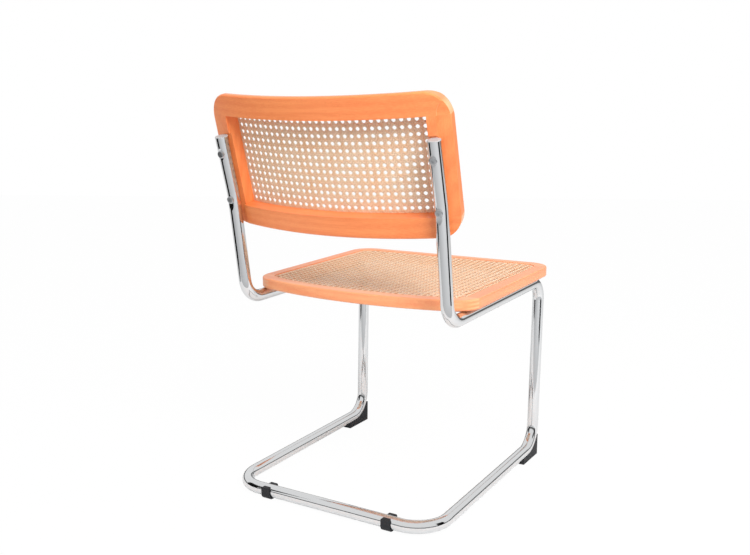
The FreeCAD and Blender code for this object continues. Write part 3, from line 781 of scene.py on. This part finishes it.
# %% [markdown]
# Chrome looks like chrome only where it has something dark to mirror. Photographers put black
# cards beside a shiny object for that. These two stand left and right of the chair, each turned to
# face the chair. Only mirror images show them: the camera, the soft light and the
# shadows pass through.


# %% Dark cards
def dark_card(name, middle, width, height):
    bm = flat_sheet(width, height)
    towards = Vector((-middle[0], -middle[1], 0))
    turn = towards.to_track_quat("Z", "Y").to_matrix().to_4x4()
    bmesh.ops.transform(bm, matrix=Matrix.Translation(middle) @ turn, verts=bm.verts)
    material, tree, output = new_material(name + "_black_felt")
    felt = add(tree, "ShaderNodeBsdfDiffuse", {"Color": colour("#151515")})
    tree.links.new(felt.outputs["BSDF"], output.inputs["Surface"])
    card = object_from(bm, name, material)
    card.visible_camera = False
    card.visible_diffuse = False
    card.visible_shadow = False
    print(name, "at", middle)


card_height = 0.9
dark_card("dark_card_left", (1.04, 0.81, 0.45), 0.8, card_height)
dark_card("dark_card_right", (-1.38, 0.03, 0.45), 0.5, card_height)

# %% [markdown]
# The world is the white surround. The camera sees it as plain white, and it lights the chair
# softly from all sides. Mirrors see a little more of a room in it: dark low down, where a studio
# has its skirting and furniture, and white above. The height of a direction is its Z, from -1
# straight down to 1 straight up.

# %% Surround
soft_light = 0.76
low_wall_top = 0.15
high_wall_start = 0.22
low_wall_tone = 0.15
high_wall_tone = 0.95

world = bpy.data.worlds.new("white_studio")
bpy.context.scene.world = world
world.use_nodes = True
sky = world.node_tree
sky.nodes.clear()
rays = add(sky, "ShaderNodeLightPath")
direction = add(sky, "ShaderNodeTexCoord").outputs["Generated"]
height = add(sky, "ShaderNodeSeparateXYZ", None, {"Vector": direction}).outputs["Z"]
wall_tone = add(sky, "ShaderNodeMapRange",
                {"From Min": low_wall_top, "From Max": high_wall_start,
                 "To Min": low_wall_tone, "To Max": high_wall_tone},
                {"Value": height})
light = add(sky, "ShaderNodeBackground", {"Color": white, "Strength": soft_light})
mirrored = add(sky, "ShaderNodeBackground", {"Color": white},
               {"Strength": wall_tone.outputs["Result"]})
seen = add(sky, "ShaderNodeBackground", {"Color": white, "Strength": 1.0})
straight = add(sky, "ShaderNodeMath", {"operation": "MAXIMUM"},
               {0: rays.outputs["Is Camera Ray"], 1: rays.outputs["Is Transmission Ray"]})
room = add(sky, "ShaderNodeMixShader", None,
           {0: rays.outputs["Is Glossy Ray"],
            1: light.outputs["Background"], 2: mirrored.outputs["Background"]})
surround = add(sky, "ShaderNodeMixShader", None,
               {0: straight.outputs["Value"],
                1: room.outputs["Shader"], 2: seen.outputs["Background"]})
add(sky, "ShaderNodeOutputWorld", None, {"Surface": surround.outputs["Shader"]})
print("surround ready, light", soft_light)

# %% [markdown]
# One large lamp stands to the right of the camera and above it, and gives the wood its bright
# side. Everything else comes from the white surround. The lamp is kept out of the reflections,
# where it would show as small hard spots on the tube.

# %% Lamp
lamp_place = Vector((-2.2, 1.7, 2.5))
lamp_target = Vector((0.0, 0.0, 0.45))

lamp_data = bpy.data.lights.new("key_lamp", "AREA")
lamp_data.shape = "DISK"
lamp_data.size = 1.6
lamp_data.energy = 104
lamp = bpy.data.objects.new("key_lamp", lamp_data)
bpy.context.scene.collection.objects.link(lamp)
lamp.location = lamp_place
lamp.visible_glossy = False
lamp.rotation_euler = (lamp_target - lamp_place).to_track_quat("-Z", "Y").to_euler()
print("lamp at", tuple(lamp_place))

# %% [markdown]
# The camera stands behind the chair at its right-hand side, at the height of the back, and looks
# down by about ten degrees. Its place and its angle of view are those of the photo.

# %% Camera
photo_width = 750
focal_length_in_pixels = 885.01
sensor_width = 36.0

camera_data = bpy.data.cameras.new("photo_camera")
camera_data.sensor_width = sensor_width
camera_data.lens = sensor_width * focal_length_in_pixels / photo_width
camera = bpy.data.objects.new("photo_camera", camera_data)
bpy.context.scene.collection.objects.link(camera)
up = right_hand.cross(looks_to)
turn = Matrix((right_hand, up, -looks_to)).transposed()
camera.matrix_world = Matrix.Translation(camera_place) @ turn.to_4x4()
bpy.context.scene.camera = camera
bpy.context.scene.view_settings.view_transform = "Standard"
print("focal length", round(camera_data.lens, 2), "mm")
